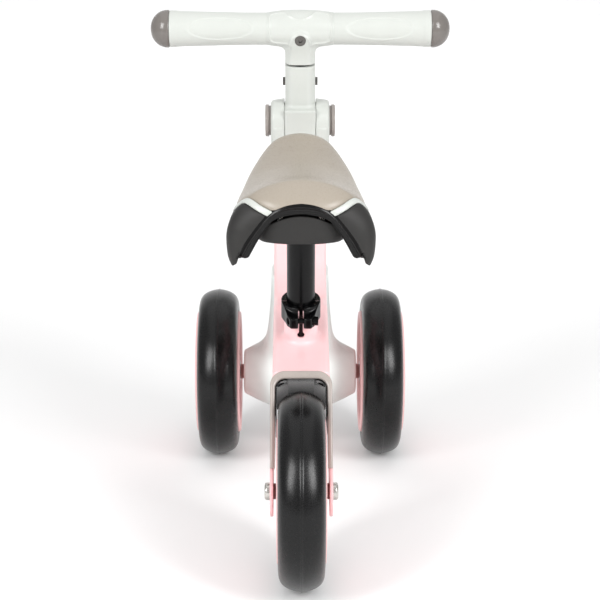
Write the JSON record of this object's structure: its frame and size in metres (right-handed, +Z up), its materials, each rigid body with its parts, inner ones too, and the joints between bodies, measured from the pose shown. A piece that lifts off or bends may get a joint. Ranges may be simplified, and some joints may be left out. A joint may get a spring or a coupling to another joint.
{
  "type": "balance bike",
  "caption": "Child's foldable balance bike: one rear wheel in a beam frame, a front wheel pair on a T fork, height-adjustable saddle and folding T handlebar.",
  "frame": {"origin": "on the ground, in the middle of the bike's length and width", "axes": "+Y forward, +X to the rider's right, +Z up"},
  "size_m": [0.285, 0.509, 0.478],
  "materials": {
    "pink_paint": "satin powder coat",
    "rim_plastic": "satin moulded plastic",
    "white_plastic": "satin moulded plastic",
    "grip_rubber": "soft matte",
    "grey_plastic": "fine satin",
    "taupe_plastic": "satin moulded plastic",
    "beige_cover": "soft matte",
    "black_plastic": "satin moulded plastic",
    "dusky_plastic": "satin",
    "tyre_foam": "soft satin foam",
    "black_metal": "satin black",
    "post_paint": "satin black",
    "zinc_steel": "zinc plated",
    "bearing_steel": "ground"
  },
  "bodies": {
    "frame": {"frame_beam": "pink_paint", "head_tube": "pink_paint", "seat_tube": "pink_paint", "arch_trim": "taupe_plastic", "wheel_guard": "black_plastic", "lower_bearing": "bearing_steel", "upper_bearing": "bearing_steel", "seat_clamp": "black_metal", "clamp_bolt": "black_metal", "rear_axle": "zinc_steel", "rear_axle_nut": "zinc_steel", "rear_spacers": "dusky_plastic"},
    "seat": {"seat_post": "post_paint", "post_plug": "black_plastic", "saddle_bracket": "black_metal", "saddle_pan": "black_plastic", "saddle_base": "black_plastic", "saddle_trim": "white_plastic", "saddle_cover": "beige_cover", "saddle_screws": "zinc_steel"},
    "fork": {"fork_core": "black_metal", "fork_shell_front": "grey_plastic", "fork_shell_rear": "grey_plastic", "fork_screws": "zinc_steel", "crown_race": "dusky_plastic", "top_race": "dusky_plastic", "hinge_housing": "white_plastic", "hinge_pin": "zinc_steel", "button_spring": "zinc_steel", "front_axle": "zinc_steel", "front_spacers": "dusky_plastic", "front_axle_nuts": "zinc_steel"},
    "handlebar": {"stem_knuckle": "white_plastic", "stem_tube": "black_metal", "stem_cross_bolt": "zinc_steel", "stem_cross_nut": "zinc_steel", "handlebar_body": "white_plastic", "handlebar_core": "black_metal", "handlebar_bolt": "zinc_steel", "grip_left": "grip_rubber", "grip_right": "grip_rubber", "end_cap_left": "taupe_plastic", "end_cap_right": "taupe_plastic"},
    "left_button": {"button_left": "taupe_plastic"},
    "right_button": {"button_right": "taupe_plastic"},
    "rear_wheel": {"rear_tyre": "tyre_foam", "rear_rim": "rim_plastic", "rear_bearings": "bearing_steel"},
    "left_front_wheel": {"front_left_tyre": "tyre_foam", "front_left_rim": "rim_plastic", "front_left_bearings": "bearing_steel"},
    "right_front_wheel": {"front_right_tyre": "tyre_foam", "front_right_rim": "rim_plastic", "front_right_bearings": "bearing_steel"}
  },
  "joints": [
    {"name": "steering", "type": "hinge", "parent": "frame", "child": "fork", "pos_m": [0, 0.12054, 0.26846], "axis": [0, -0.2079, 0.9781], "range_deg": [-30, 30]},
    {"name": "handlebar_fold", "type": "hinge", "parent": "fork", "child": "handlebar", "pos_m": [0, 0.09933, 0.36823], "axis": [-1, 0, 0], "range_deg": [0, 90]},
    {"name": "button_left_press", "type": "slide", "parent": "fork", "child": "left_button", "axis": [1, 0, 0], "range_m": [0, 0.0018], "stiffness_N_per_m": 900},
    {"name": "button_right_press", "type": "slide", "parent": "fork", "child": "right_button", "axis": [-1, 0, 0], "range_m": [0, 0.0018], "stiffness_N_per_m": 900},
    {"name": "seat_height", "type": "slide", "parent": "frame", "child": "seat", "axis": [0, -0.2588, 0.9659], "range_m": [-0.025, 0.02]},
    {"name": "rear_wheel_spin", "type": "hinge", "parent": "frame", "child": "rear_wheel", "pos_m": [0, -0.167, 0.0875], "axis": [-1, 0, 0], "continuous": true},
    {"name": "front_left_spin", "type": "hinge", "parent": "fork", "child": "left_front_wheel", "pos_m": [-0.085, 0.167, 0.0875], "axis": [-1, 0, 0], "continuous": true},
    {"name": "front_right_spin", "type": "hinge", "parent": "fork", "child": "right_front_wheel", "pos_m": [0.085, 0.167, 0.0875], "axis": [-1, 0, 0], "continuous": true}
  ]
}
